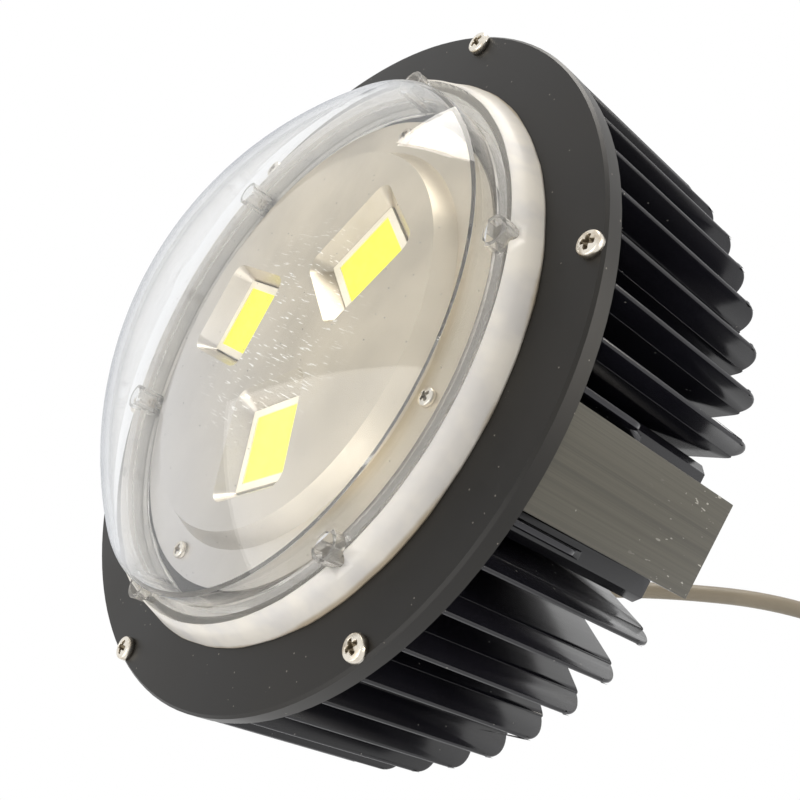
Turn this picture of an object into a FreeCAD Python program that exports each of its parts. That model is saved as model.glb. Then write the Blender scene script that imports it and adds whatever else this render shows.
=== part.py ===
"""A high bay light: finned heat sink, front plate, three LED modules, pocketed reflector,
clear domed lens on a silicone seal, and a rear cable with its gland.

Millimetres. +Z is the optical axis, from the rear to the lens. The origin is at the mouth of the
threaded hole in the middle of the heat sink's rear face.
"""
import FreeCAD, Part
import math
import os
import Sketcher

from FreeCAD import Placement, Rotation, Vector

doc = FreeCAD.newDocument("high_bay_light")

# ---------------------------------------------------------------- driving dimensions
DIMENSIONS = [
    # front plate
    ("plate_radius", 115.0),
    ("plate_thickness", 5.75),
    ("plate_chamfer", 0.8),
    # heat sink
    ("sink_length", 71.75),
    ("core_radius", 62.0),
    ("fin_tip_radius", 115.0),
    ("fin_count", 22),              # on each side between the two pads
    ("fin_first_angle", 15.05),     # from the middle of a pad to the first full fin
    ("fin_thickness", 2.3),
    ("fin_root_thickness", 3.0),
    ("fin_step_radius", 106.8),
    ("fin_corner", 10.0),
    ("pad_face", 114.0),
    ("pad_half_width", 14.0),
    ("pad_setback", 4.25),
    ("shoulder_face", 98.3),
    ("shoulder_half_width", 21.7),
    ("shoulder_chamfer", 2.3),
    ("rib_root_half_width", 10.6),
    ("side_fin_lateral", 17.15),
    ("side_fin_end", 46.0),
    ("side_fin_root_end", 30.5),
    ("side_fin_corner", 6.0),
    # rear holes
    ("hook_hole_radius", 4.25),
    ("hook_hole_depth", 20.0),
    ("gland_place_radius", 45.0),
    ("gland_angle", 165.0),
    ("gland_thread_radius", 6.2),
    ("gland_thread_length", 9.0),
    ("wire_channel_radius", 3.4),
    # LED modules
    ("led_place_radius", 35.7),
    ("led_base_width", 46.0),
    ("led_base_depth", 40.0),
    ("led_base_thickness", 1.5),
    ("led_base_corner", 2.0),
    ("led_hole_x", 19.0),
    ("led_hole_y", 15.0),
    ("led_frame_side", 27.6),
    ("led_frame_height", 2.2),
    ("phosphor_side", 22.5),
    ("phosphor_height", 1.85),
    # reflector
    ("sheet_thickness", 1.0),
    ("flange_top", 3.4),
    ("flange_outer_radius", 80.0),
    ("shoulder_foot_radius", 68.5),
    ("shoulder_top_radius", 65.0),
    ("plateau_top", 9.4),
    ("pocket_top_depth", 38.0),
    ("pocket_top_width", 34.0),
    ("pocket_top_corner", 5.0),
    ("pocket_floor_side", 28.4),
    ("pocket_floor_corner", 1.5),
    ("pocket_floor_height", 3.0),
    ("reflector_screw_circle", 74.2),
    # lens
    ("seal_thickness", 0.8),
    ("lens_wall", 2.4),
    ("lens_wall_radius", 87.0),
    ("lens_flange_radius", 92.0),
    ("lens_flange_top", 8.9),
    ("lens_sphere_radius", 134.0),
    ("lens_top", 49.2),
    ("boss_circle", 88.8),
    ("boss_radius", 4.6),
    ("boss_top", 12.0),
    ("boss_bore_radius", 3.4),
    ("boss_seat", 3.2),
    # seal
    ("seal_inner_radius", 86.1),
    ("seal_foot_radius", 96.2),
    ("seal_foot_height", 0.7),
    ("seal_lip", 0.5),
    # screws
    ("shade_screw_circle", 111.3),
    ("shade_screw_angle", -3.55),
    ("large_shank_radius", 1.95),
    ("large_head_radius", 3.7),
    ("large_head_height", 2.6),
    ("small_shank_radius", 1.45),
    ("small_head_radius", 2.75),
    ("small_head_height", 1.9),
    ("plate_screw_circle", 50.0),
    ("plate_screw_depth", 3.2),
    ("plate_screw_reach", 16.0),
    ("spacer_radius", 3.2),
    ("screw_clearance", 0.05),
    ("fit_clearance", 0.15),
    # cable and gland
    ("cable_radius", 3.2),
    ("gland_flange_height", 5.0),
    ("gland_flats", 15.0),
    ("gland_nut_length", 15.0),
    ("gland_nut_radius", 8.0),
    ("wire_radius", 0.9),
]

sheet = doc.addObject("Spreadsheet::Sheet", "Dims")
for row, (alias, number) in enumerate(DIMENSIONS, start=1):
    sheet.set("A%d" % row, alias)
    sheet.set("B%d" % row, str(number))
    sheet.setAlias("B%d" % row, alias)
doc.recompute()


class Size:
    """A number together with the spreadsheet expression that it comes from."""

    def __init__(self, value, text):
        self.value = value
        self.text = text

    @staticmethod
    def of(thing):
        return thing if isinstance(thing, Size) else Size(float(thing), repr(float(thing)))

    def __add__(self, other):
        other = Size.of(other)
        return Size(self.value + other.value, "(%s + %s)" % (self.text, other.text))

    def __sub__(self, other):
        other = Size.of(other)
        return Size(self.value - other.value, "(%s - %s)" % (self.text, other.text))

    def __mul__(self, other):
        other = Size.of(other)
        return Size(self.value * other.value, "(%s * %s)" % (self.text, other.text))

    def __truediv__(self, other):
        other = Size.of(other)
        return Size(self.value / other.value, "(%s / %s)" % (self.text, other.text))

    def __neg__(self):
        return Size(-self.value, "(-1 * %s)" % self.text)

    def cosine(self):
        return Size(math.cos(math.radians(self.value)), "cos(%s)" % self.text)

    def sine(self):
        return Size(math.sin(math.radians(self.value)), "sin(%s)" % self.text)

    def root(self):
        return Size(math.sqrt(self.value), "sqrt(%s)" % self.text)


class Dims:
    """The sheet's cells as Size attributes, such as dim.plate_radius."""

    def __init__(self, cells):
        for alias, _number in DIMENSIONS:
            setattr(self, alias, Size(float(cells.get(alias)), "Dims.%s" % alias))


dim = Dims(sheet)
ZERO = Size.of(0)
front = dim.sink_length + dim.plate_thickness          # height of the plate's front face
LED_ANGLES = (90, 210, 330)


# ---------------------------------------------------------------- helpers
def bind(thing, name, size):
    """Ties one property of an object to the sheet."""
    thing.setExpression(name, Size.of(size).text)


def new_body(label):
    body = doc.addObject("PartDesign::Body", label)
    body.Label = label
    return body


def origin_feature(body, role):
    return [part for part in body.Origin.OriginFeatures if part.Role == role][0]


def new_sketch(body, name, plane="XY_Plane", height=None):
    """A sketch on an origin plane, lifted by height along its normal."""
    sketch = body.newObject("Sketcher::SketchObject", name)
    sketch.AttachmentSupport = [(origin_feature(body, plane), "")]
    sketch.MapMode = "FlatFace"
    if height is not None:
        sketch.AttachmentOffset = Placement(Vector(0, 0, height.value), Rotation())
        bind(sketch, "AttachmentOffset.Base.z", height)
    return sketch


def hold(sketch, geometry, point, across, up):
    """Holds a point of a sketch at its distances from the origin; None leaves one free."""
    for kind, axis, size in (("DistanceX", -2, across), ("DistanceY", -1, up)):
        if size is None:
            continue
        if size is ZERO:
            sketch.addConstraint(Sketcher.Constraint("PointOnObject", geometry, point, axis))
            continue
        index = sketch.addConstraint(
            Sketcher.Constraint(kind, -1, 1, geometry, point, size.value))
        sketch.setExpression("Constraints[%d]" % index, size.text)


class Arc:
    """An arc that ends at (across, up) round a centre; free names the end's free coordinate."""

    def __init__(self, across, up, centre, turns_left, free):
        self.end = (Size.of(across), Size.of(up))
        self.centre = centre
        self.turns_left = turns_left
        self.free = free


def outline(sketch, corners):
    """A closed outline of lines and arcs. Each corner is (across, up) or an Arc to it."""
    ends = [corner.end if isinstance(corner, Arc) else corner for corner in corners]
    count = len(corners)
    first = sketch.GeometryCount
    for index in range(count):
        start, corner = ends[index - 1], corners[index]
        end = ends[index]
        tail = Vector(start[0].value, start[1].value, 0)
        head = Vector(end[0].value, end[1].value, 0)
        if isinstance(corner, Arc):
            middle = Vector(corner.centre[0].value, corner.centre[1].value, 0)
            begin, finish = (tail, head) if corner.turns_left else (head, tail)
            low = math.atan2(begin.y - middle.y, begin.x - middle.x)
            high = math.atan2(finish.y - middle.y, finish.x - middle.x)
            circle = Part.Circle(middle, Vector(0, 0, 1), (tail - middle).Length)
            sketch.addGeometry(Part.ArcOfCircle(circle, low, high), False)
        else:
            sketch.addGeometry(Part.LineSegment(tail, head), False)
    for index in range(count):
        here, after = first + index, first + (index + 1) % count
        here_end = 1 if isinstance(corners[index], Arc) and not corners[index].turns_left else 2
        next_corner = corners[(index + 1) % count]
        next_start = 2 if isinstance(next_corner, Arc) and not next_corner.turns_left else 1
        sketch.addConstraint(
            Sketcher.Constraint("Coincident", here, here_end, after, next_start))
        across, up = ends[index]
        if isinstance(corners[index], Arc):
            hold(sketch, here, 3, *corners[index].centre)
            across = None if corners[index].free == "across" else across
            up = None if corners[index].free == "up" else up
        hold(sketch, here, here_end, across, up)


def circle(sketch, across, up, radius):
    index = sketch.addGeometry(
        Part.Circle(Vector(across.value, up.value, 0), Vector(0, 0, 1), radius.value), False)
    hold(sketch, index, 3, across, up)
    constraint = sketch.addConstraint(Sketcher.Constraint("Radius", index, radius.value))
    sketch.setExpression("Constraints[%d]" % constraint, radius.text)


def box(sketch, left, bottom, right, top):
    outline(sketch, [(left, bottom), (right, bottom), (right, top), (left, top)])


def centred_box(sketch, width, depth):
    box(sketch, -(width / 2), -(depth / 2), width / 2, depth / 2)


def rounded_box(sketch, width, depth, corner):
    """A centred rectangle with rounded corners."""
    right, top = width / 2, depth / 2
    inner_right, inner_top = right - corner, top - corner
    outline(sketch, [
        (inner_right, -top),
        Arc(right, -inner_top, (inner_right, -inner_top), True, "across"),
        (right, inner_top),
        Arc(inner_right, top, (inner_right, inner_top), True, "up"),
        (-inner_right, top),
        Arc(-right, inner_top, (-inner_right, inner_top), True, "across"),
        (-right, -inner_top),
        Arc(-inner_right, -top, (-inner_right, -inner_top), True, "up"),
    ])


def pad(body, sketch, length, midplane=False):
    feature = body.newObject("PartDesign::Pad", sketch.Name + "_pad")
    feature.Profile = sketch
    bind(feature, "Length", length)
    if midplane:
        feature.SideType = "Symmetric"
    return feature


def pocket(body, sketch, length, upwards):
    """Cuts along +Z when upwards is true, or along -Z."""
    feature = body.newObject("PartDesign::Pocket", sketch.Name + "_pocket")
    feature.Profile = sketch
    feature.Reversed = upwards
    bind(feature, "Length", length)
    return feature


def revolve(body, sketch):
    feature = body.newObject("PartDesign::Revolution", sketch.Name + "_revolution")
    feature.Profile = sketch
    feature.ReferenceAxis = (sketch, ["V_Axis"])
    feature.Angle = 360
    return feature


def polar(body, features, count, angle=360):
    pattern = body.newObject("PartDesign::PolarPattern", features[0].Name + "_ring")
    pattern.Originals = features
    pattern.Axis = (origin_feature(body, "Z_Axis"), [""])
    pattern.Angle = angle
    pattern.Occurrences = count
    body.Tip = pattern
    return pattern


def mirror(body, features, plane):
    pattern = body.newObject("PartDesign::Mirrored", features[0].Name + "_mirror")
    pattern.Originals = features
    pattern.MirrorPlane = (origin_feature(body, plane), [""])
    body.Tip = pattern
    return pattern


def polar_point(radius, angle):
    return radius * angle.cosine(), radius * angle.sine()


# ---------------------------------------------------------------- heat sink
def make_heat_sink():
    """An extruded core with radial fins, two flat pads, and two clipped fins beside each pad."""
    body = new_body("heat_sink")
    length = dim.sink_length
    overlap = dim.core_radius - 1

    core = new_sketch(body, "core")
    circle(core, ZERO, ZERO, dim.core_radius)
    pad(body, core, length)

    # one stepped fin, repeated between the pads on one side and mirrored to the other
    fin = new_sketch(body, "fin")
    spin = Rotation(Vector(0, 0, 1), dim.fin_first_angle.value - 90)
    fin.AttachmentOffset = Placement(Vector(), spin)
    bind(fin, "AttachmentOffset.Rotation.Angle", dim.fin_first_angle - 90)
    tip, step = dim.fin_tip_radius, dim.fin_step_radius
    thin, thick = dim.fin_thickness / 2, dim.fin_root_thickness / 2
    outline(fin, [
        (overlap, -thick), (step, -thick), (step, -thin), (tip, -thin),
        (tip, thin), (step, thin), (step, thick), (overlap, thick),
    ])
    fin_pad = pad(body, fin, length)
    fin_pad.Refine = False
    fan = body.newObject("PartDesign::MultiTransform", "fins")
    fan.Originals = [fin_pad]
    fan.Refine = False
    turn = body.newObject("PartDesign::PolarPattern", "fin_turn")
    turn.Axis = (origin_feature(body, "Z_Axis"), [""])
    bind(turn, "Angle", Size.of(180) - dim.fin_first_angle * 2)
    bind(turn, "Occurrences", dim.fin_count)
    flip = body.newObject("PartDesign::Mirrored", "fin_flip")
    flip.MirrorPlane = (origin_feature(body, "YZ_Plane"), [""])
    fan.Transformations = [turn, flip]
    body.Tip = fan

    # the fins' rear corners are turned round
    rounding = new_sketch(body, "rear_rounding", "XZ_Plane")
    round_start, beyond = tip - dim.fin_corner, tip + 1
    outline(rounding, [
        (beyond, ZERO - 1),
        (beyond, dim.fin_corner),
        (tip, dim.fin_corner),
        Arc(round_start, ZERO, (round_start, dim.fin_corner), False, "up"),
        (round_start, ZERO - 1),
    ])
    groove = body.newObject("PartDesign::Groove", "rear_corner")
    groove.Profile = rounding
    groove.ReferenceAxis = (rounding, ["V_Axis"])
    groove.Angle = 360
    groove.Refine = False

    # a wedge shaped rib that ends in a shoulder, and the pad block on it
    rib = new_sketch(body, "rib")
    shoulder_side = dim.shoulder_face - dim.shoulder_chamfer
    shoulder_top = dim.shoulder_half_width - dim.shoulder_chamfer
    outline(rib, [
        (-dim.rib_root_half_width, -overlap),
        (-dim.shoulder_half_width, -shoulder_side),
        (-shoulder_top, -dim.shoulder_face),
        (shoulder_top, -dim.shoulder_face),
        (dim.shoulder_half_width, -shoulder_side),
        (dim.rib_root_half_width, -overlap),
    ])
    rib_pad = pad(body, rib, length)
    block = new_sketch(body, "pad_block", height=dim.pad_setback)
    box(block, -dim.pad_half_width, -dim.pad_face, dim.pad_half_width, -(dim.shoulder_face - 1))
    block_pad = pad(body, block, length - dim.pad_setback)
    mirror(body, [rib_pad, block_pad], "XZ_Plane")

    # the fin beside a pad, cut back towards the rear
    side = new_sketch(body, "side_fin", "YZ_Plane", height=dim.side_fin_lateral)
    reach = (tip * tip - dim.side_fin_lateral * dim.side_fin_lateral).root()
    corner = dim.side_fin_corner
    outline(side, [
        (dim.shoulder_face - 1, dim.side_fin_root_end),
        (dim.shoulder_face, dim.side_fin_root_end),
        (reach - corner, dim.side_fin_end),
        Arc(reach, dim.side_fin_end + corner,
            (reach - corner, dim.side_fin_end + corner), True, "across"),
        (reach, length),
        (dim.shoulder_face - 1, length),
    ])
    side_pad = pad(body, side, dim.fin_thickness, midplane=True)
    four = body.newObject("PartDesign::MultiTransform", "side_fins")
    four.Originals = [side_pad]
    across = body.newObject("PartDesign::Mirrored", "side_flip_x")
    across.MirrorPlane = (origin_feature(body, "YZ_Plane"), [""])
    over = body.newObject("PartDesign::Mirrored", "side_flip_y")
    over.MirrorPlane = (origin_feature(body, "XZ_Plane"), [""])
    four.Transformations = [across, over]
    body.Tip = four

    # the hook's hole in the rear, the gland's hole and the channel for the wires
    hook = new_sketch(body, "hook_hole")
    circle(hook, ZERO, ZERO, dim.hook_hole_radius)
    pocket(body, hook, dim.hook_hole_depth, upwards=True)
    gland_x, gland_y = polar_point(dim.gland_place_radius, dim.gland_angle)
    thread = new_sketch(body, "gland_hole")
    circle(thread, gland_x, gland_y, dim.gland_thread_radius + dim.screw_clearance)
    pocket(body, thread, dim.gland_thread_length + 1, upwards=True)
    channel = new_sketch(body, "wire_channel")
    circle(channel, gland_x, gland_y, dim.wire_channel_radius)
    pocket(body, channel, length, upwards=True)
    # threaded holes in the front for the three screws of the plate
    tapped = new_sketch(body, "plate_screw_hole", height=length)
    at = polar_point(dim.plate_screw_circle, Size.of(30))
    circle(tapped, *at, dim.large_shank_radius + dim.screw_clearance)
    reach_in = dim.plate_screw_reach - dim.plate_thickness + 2
    polar(body, [pocket(body, tapped, reach_in, upwards=False)], 3)
    return body


# ---------------------------------------------------------------- front plate
def make_base_plate():
    """A turned disc with tapped holes for all that is screwed to its face."""
    body = new_body("base_plate")
    disc = new_sketch(body, "disc", "XZ_Plane")
    outline(disc, [
        (ZERO, dim.sink_length),
        (dim.plate_radius, dim.sink_length),
        (dim.plate_radius, front - dim.plate_chamfer),
        (dim.plate_radius - dim.plate_chamfer, front),
        (ZERO, front),
    ])
    revolve(body, disc)

    def holes(name, places, radius, depth, count, top=front):
        sketch = new_sketch(body, name, height=top)
        for across, up in places:
            circle(sketch, across, up, radius)
        polar(body, [pocket(body, sketch, depth, upwards=False)], count)

    large = dim.large_shank_radius + dim.screw_clearance
    small = dim.small_shank_radius + dim.screw_clearance
    through = dim.plate_thickness
    holes("shade_hole", [polar_point(dim.shade_screw_circle, dim.shade_screw_angle)],
          large, through, 6)
    holes("lens_hole", [polar_point(dim.boss_circle, ZERO)], small, through, 6)
    holes("reflector_hole", [(ZERO, -dim.reflector_screw_circle)], small, through, 4)
    led_y = dim.led_place_radius
    corners = [(dim.led_hole_x * side, led_y + dim.led_hole_y * end)
               for side in (-1, 1) for end in (-1, 1)]
    holes("led_hole", corners, small, through, 3)
    seat = polar_point(dim.plate_screw_circle, Size.of(30))
    holes("plate_hole", [seat], large, through, 3)
    holes("plate_seat", [seat], dim.large_head_radius + dim.fit_clearance,
          dim.plate_screw_depth, 3)
    wire = new_sketch(body, "wire_hole", height=front)
    circle(wire, *polar_point(dim.gland_place_radius, dim.gland_angle), dim.wire_channel_radius)
    pocket(body, wire, through, upwards=False)
    return body


# ---------------------------------------------------------------- LED modules
def make_led(number, angle):
    """A metal base with a white frame round a square of phosphor."""
    place = Placement(Vector(), Rotation(Vector(0, 0, 1), angle - 90))
    base_top = front + dim.led_base_thickness

    def square(label, level):
        body = new_body("%s_%d" % (label, number))
        sketch = new_sketch(body, "%s_outline_%d" % (label, number), height=level)
        sketch.AttachmentOffset.Base.y = dim.led_place_radius.value
        bind(sketch, "AttachmentOffset.Base.y", dim.led_place_radius)
        return body, sketch

    base, sketch = square("led_base", front)
    rounded_box(sketch, dim.led_base_width, dim.led_base_depth, dim.led_base_corner)
    for side in (-1, 1):
        for end in (-1, 1):
            circle(sketch, dim.led_hole_x * side, dim.led_hole_y * end,
                   dim.small_shank_radius + dim.fit_clearance)
    pad(base, sketch, dim.led_base_thickness)

    frame, sketch = square("led_frame", base_top)
    centred_box(sketch, dim.led_frame_side, dim.led_frame_side)
    centred_box(sketch, dim.phosphor_side, dim.phosphor_side)
    pad(frame, sketch, dim.led_frame_height)

    phosphor, sketch = square("led_phosphor", base_top)
    centred_box(sketch, dim.phosphor_side, dim.phosphor_side)
    pad(phosphor, sketch, dim.phosphor_height)

    for body in (base, frame, phosphor):
        body.Placement = place
    return [base, frame, phosphor]


# ---------------------------------------------------------------- reflector
def make_reflector():
    """One pressed sheet: a flat flange, a raised middle, and three pockets that flare upwards."""
    body = new_body("reflector")
    wall = dim.sheet_thickness
    flange, plateau = front + dim.flange_top, front + dim.plateau_top
    section = new_sketch(body, "sheet_section", "XZ_Plane")
    outline(section, [
        (ZERO, plateau - wall),
        (dim.shoulder_top_radius - wall, plateau - wall),
        (dim.shoulder_foot_radius - wall, flange - wall),
        (dim.flange_outer_radius, flange - wall),
        (dim.flange_outer_radius, flange),
        (dim.shoulder_foot_radius, flange),
        (dim.shoulder_top_radius, plateau),
        (ZERO, plateau),
    ])
    revolve(body, section)

    def pocket_sketch(name, level, width, depth, corner):
        sketch = new_sketch(body, name, height=level)
        bind(sketch, "AttachmentOffset.Base.y", dim.led_place_radius)
        rounded_box(sketch, width, depth, corner)
        return sketch

    floor = front + dim.pocket_floor_height
    side, corner = dim.pocket_floor_side, dim.pocket_floor_corner
    skin = wall * 2
    under = plateau - wall / 2
    low = pocket_sketch("pocket_low", floor, side + skin, side + skin, corner + wall)
    high = pocket_sketch("pocket_high", under, dim.pocket_top_width + skin,
                         dim.pocket_top_depth + skin, dim.pocket_top_corner + wall)
    outer = body.newObject("PartDesign::AdditiveLoft", "pocket_skin")
    outer.Profile = low
    outer.Sections = [high]
    outer.Ruled = True
    low_cut = pocket_sketch("pocket_low_cut", floor, side, side, corner)
    high_cut = pocket_sketch("pocket_high_cut", plateau, dim.pocket_top_width,
                             dim.pocket_top_depth, dim.pocket_top_corner)
    inner = body.newObject("PartDesign::SubtractiveLoft", "pocket_space")
    inner.Profile = low_cut
    inner.Sections = [high_cut]
    inner.Ruled = True
    polar(body, [outer, inner], 3)

    hole = new_sketch(body, "reflector_screw_hole", height=flange)
    for across, up in ((ZERO, -dim.reflector_screw_circle), (dim.reflector_screw_circle, ZERO),
                       (-dim.reflector_screw_circle, ZERO)):
        circle(hole, across, up, dim.small_shank_radius + dim.fit_clearance)
    pocket(body, hole, wall, upwards=False)
    return body


# ---------------------------------------------------------------- lens and seal
def make_lens():
    """A clear dome on a channel shaped flange, with six bored bosses."""
    body = new_body("lens")
    wall = dim.lens_wall
    foot = front + dim.seal_thickness
    rim = front + dim.lens_flange_top
    top = front + dim.lens_top
    centre = (ZERO, top - dim.lens_sphere_radius)
    outer, inner = dim.lens_wall_radius, dim.lens_wall_radius - wall
    sphere = dim.lens_sphere_radius
    outer_knee = centre[1] + (sphere * sphere - outer * outer).root()
    inner_sphere = sphere - wall
    inner_knee = centre[1] + (inner_sphere * inner_sphere - inner * inner).root()
    section = new_sketch(body, "dome_section", "XZ_Plane")
    outline(section, [
        (inner, foot),
        (outer, foot),
        (outer, rim - wall),
        (dim.lens_flange_radius - wall, rim - wall),
        (dim.lens_flange_radius - wall, foot),
        (dim.lens_flange_radius, foot),
        (dim.lens_flange_radius, rim),
        (outer, rim),
        (outer, outer_knee),
        Arc(ZERO, top, centre, True, "up"),
        (ZERO, top - wall),
        Arc(inner, inner_knee, centre, False, "up"),
    ])
    revolve(body, section)

    def boss(name, radius, level):
        sketch = new_sketch(body, name, height=level)
        circle(sketch, dim.boss_circle, ZERO, radius)
        return sketch

    seat = front + dim.boss_seat
    post = pad(body, boss("boss", dim.boss_radius, foot), dim.boss_top - dim.seal_thickness)
    bore = pocket(body, boss("boss_bore", dim.boss_bore_radius, seat),
                  dim.boss_top - dim.boss_seat, upwards=True)
    drill = pocket(body, boss("boss_drill", dim.small_shank_radius + dim.fit_clearance, foot),
                   dim.boss_seat - dim.seal_thickness, upwards=True)
    polar(body, [post, bore, drill], 6)
    return body


def make_seal():
    """A flat layer under the flange and a fillet of sealant that climbs its side."""
    body = new_body("lens_seal")
    side = dim.lens_flange_radius
    section = new_sketch(body, "seal_section", "XZ_Plane")
    outline(section, [
        (dim.seal_inner_radius, front),
        (dim.seal_foot_radius, front),
        (dim.seal_foot_radius, front + dim.seal_foot_height),
        (side + dim.seal_lip, front + dim.lens_flange_top),
        (side, front + dim.lens_flange_top),
        (side, front + dim.seal_thickness),
        (dim.seal_inner_radius, front + dim.seal_thickness),
    ])
    revolve(body, section)
    relief = new_sketch(body, "boss_relief", height=front + dim.seal_thickness)
    circle(relief, dim.boss_circle, ZERO, dim.boss_radius)
    around = pocket(body, relief, dim.lens_flange_top, upwards=True)
    hole = new_sketch(body, "seal_screw_hole", height=front)
    circle(hole, dim.boss_circle, ZERO, dim.small_shank_radius + dim.fit_clearance)
    drill = pocket(body, hole, dim.seal_thickness, upwards=True)
    polar(body, [around, drill], 6)
    return body


# ---------------------------------------------------------------- screws and spacers
class Screw:
    """Sizes of one kind of pan head screw, by its spreadsheet names."""

    def __init__(self, shank_radius, head_radius, head_height):
        self.shank_radius = shank_radius
        self.head_radius = head_radius
        self.head_height = head_height


def make_screws(label, screw, places, seat, reach, count, sweep=360):
    """Cross head screws that stand at a height, drawn at the places and repeated round the axis."""
    body = new_body(label)
    body.AllowCompound = True
    lower, upper = screw.head_height * 0.55, screw.head_height * 0.45
    shank = new_sketch(body, label + "_shank", height=seat - reach)
    head = new_sketch(body, label + "_head", height=seat)
    crown = new_sketch(body, label + "_crown", height=seat + lower)
    cross = new_sketch(body, label + "_cross", height=seat + screw.head_height)
    arm, blade = screw.head_radius * 0.55, screw.head_radius * 0.13
    for x, y in places:
        circle(shank, x, y, screw.shank_radius)
        circle(head, x, y, screw.head_radius)
        circle(crown, x, y, screw.head_radius * 0.88)
        outline(cross, [
            (x - arm, y - blade), (x - blade, y - blade), (x - blade, y - arm),
            (x + blade, y - arm), (x + blade, y - blade), (x + arm, y - blade),
            (x + arm, y + blade), (x + blade, y + blade), (x + blade, y + arm),
            (x - blade, y + arm), (x - blade, y + blade), (x - arm, y + blade),
        ])
    steps = [pad(body, shank, reach), pad(body, head, lower), pad(body, crown, upper),
             pocket(body, cross, screw.head_height * 0.6, upwards=False)]
    polar(body, steps, count, sweep)
    return body


def make_spacers():
    """Washers that carry the reflector's flange above the plate."""
    body = new_body("reflector_spacers")
    body.AllowCompound = True
    sketch = new_sketch(body, "spacer", height=front)
    circle(sketch, -dim.reflector_screw_circle, ZERO, dim.spacer_radius)
    circle(sketch, -dim.reflector_screw_circle, ZERO, dim.small_shank_radius + dim.fit_clearance)
    polar(body, [pad(body, sketch, dim.flange_top - dim.sheet_thickness)], 3, 180)
    return body


def make_fasteners():
    large = Screw(dim.large_shank_radius, dim.large_head_radius, dim.large_head_height)
    small = Screw(dim.small_shank_radius, dim.small_head_radius, dim.small_head_height)
    in_plate = dim.plate_thickness - 0.5
    led_corners = [(dim.led_hole_x * side, dim.led_place_radius + dim.led_hole_y * end)
                   for side in (-1, 1) for end in (-1, 1)]
    return [
        make_screws("shade_screws", large,
                    [polar_point(dim.shade_screw_circle, dim.shade_screw_angle)],
                    front, in_plate, 6),
        make_screws("lens_screws", small, [(dim.boss_circle, ZERO)],
                    front + dim.boss_seat, in_plate + dim.boss_seat, 6),
        make_screws("reflector_screws", small, [(-dim.reflector_screw_circle, ZERO)],
                    front + dim.flange_top, in_plate + dim.flange_top, 3, 180),
        make_screws("led_screws", small, led_corners,
                    front + dim.led_base_thickness, in_plate + dim.led_base_thickness, 3),
        make_screws("plate_screws", large, [polar_point(dim.plate_screw_circle, Size.of(30))],
                    front - dim.plate_screw_depth,
                    dim.plate_screw_reach - dim.plate_screw_depth, 3),
        make_spacers(),
    ]


# ---------------------------------------------------------------- cable gland
def hexagon(sketch, across, up, flats):
    """A hexagon by its distance across the flats."""
    corner = flats / (Size.of(30).cosine() * 2)
    points = []
    for step in range(6):
        angle = Size.of(60 * step)
        points.append((across + corner * angle.cosine(), up + corner * angle.sine()))
    outline(sketch, points)


def make_gland():
    """A gland screwed into the rear: a flanged body, a domed nut and the seal inside it."""
    x, y = polar_point(dim.gland_place_radius, dim.gland_angle)
    body = new_body("gland_body")
    flange = dim.gland_flange_height
    seat = new_sketch(body, "gland_flange", height=-flange)
    hexagon(seat, x, y, dim.gland_flats)
    pad(body, seat, flange)
    thread = new_sketch(body, "gland_thread", height=ZERO - 0.5)
    circle(thread, x, y, dim.gland_thread_radius)
    pad(body, thread, dim.gland_thread_length + 0.5)
    bore = new_sketch(body, "gland_bore", height=-flange)
    circle(bore, x, y, dim.wire_channel_radius)
    pocket(body, bore, dim.gland_thread_length + flange, upwards=True)

    nut = new_body("gland_nut")
    straight = dim.gland_nut_length * 0.6
    grip = new_sketch(nut, "nut_grip", height=-(flange + straight))
    hexagon(grip, x, y, dim.gland_flats)
    pad(nut, grip, straight)
    length = dim.gland_nut_length
    seal_radius = dim.cable_radius + 1.6
    for step, (level, shrink) in enumerate(((0.75, 0.95), (0.9, 0.85), (1.0, 0.72))):
        ring = new_sketch(nut, "nut_dome_%d" % step, height=-(flange + length * level))
        circle(ring, x, y, dim.gland_nut_radius * shrink)
        pad(nut, ring, length * level - straight + 0.5)
    mouth = new_sketch(nut, "nut_mouth", height=-(flange + length))
    circle(mouth, x, y, seal_radius)
    pocket(nut, mouth, length, upwards=True)

    seal = new_body("gland_seal")
    plug = new_sketch(seal, "seal_plug", height=-(flange + length))
    circle(plug, x, y, seal_radius)
    pad(seal, plug, length)
    return [body, nut, seal]


# ---------------------------------------------------------------- cable and wires
def shape_feature(label, shape):
    feature = doc.addObject("Part::Feature", label)
    feature.Label = label
    feature.Shape = shape
    return feature


def round_tube(points, radius, name):
    """A tube of straight runs joined by tangent arcs, as large as the runs allow."""
    corners = [Vector(*point) for point in points]
    edges = []
    tail = corners[0]
    for before, corner, after in zip(corners, corners[1:], corners[2:]):
        run_in, run_out = before - corner, after - corner
        turn = math.pi - run_in.getAngle(run_out)
        cut = 0.45 * min(run_in.Length, run_out.Length)
        bend = cut / math.tan(turn / 2)
        print("%s: turn %.0f degrees, radius %.1f mm" % (name, math.degrees(turn), bend))
        begin = corner + run_in.normalize() * cut
        finish = corner + run_out.normalize() * cut
        inward = (run_in + run_out).normalize()
        middle = corner + inward * (math.hypot(bend, cut) - bend)
        edges.append(Part.LineSegment(tail, begin).toShape())
        edges.append(Part.Arc(begin, middle, finish).toShape())
        tail = finish
    edges.append(Part.LineSegment(tail, corners[-1]).toShape())
    path = Part.Wire(edges)
    start = corners[1] - corners[0]
    profile = Part.Wire(Part.makeCircle(radius, corners[0], start))
    tube = path.makePipeShell([profile], True, False)
    expected = math.pi * radius * radius * path.Length
    if abs(tube.Volume - expected) > 0.01 * expected:
        raise RuntimeError("%s: volume %.0f, expected %.0f" % (name, tube.Volume, expected))
    print("%s: %.0f mm along its middle" % (name, path.Length))
    return tube


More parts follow.
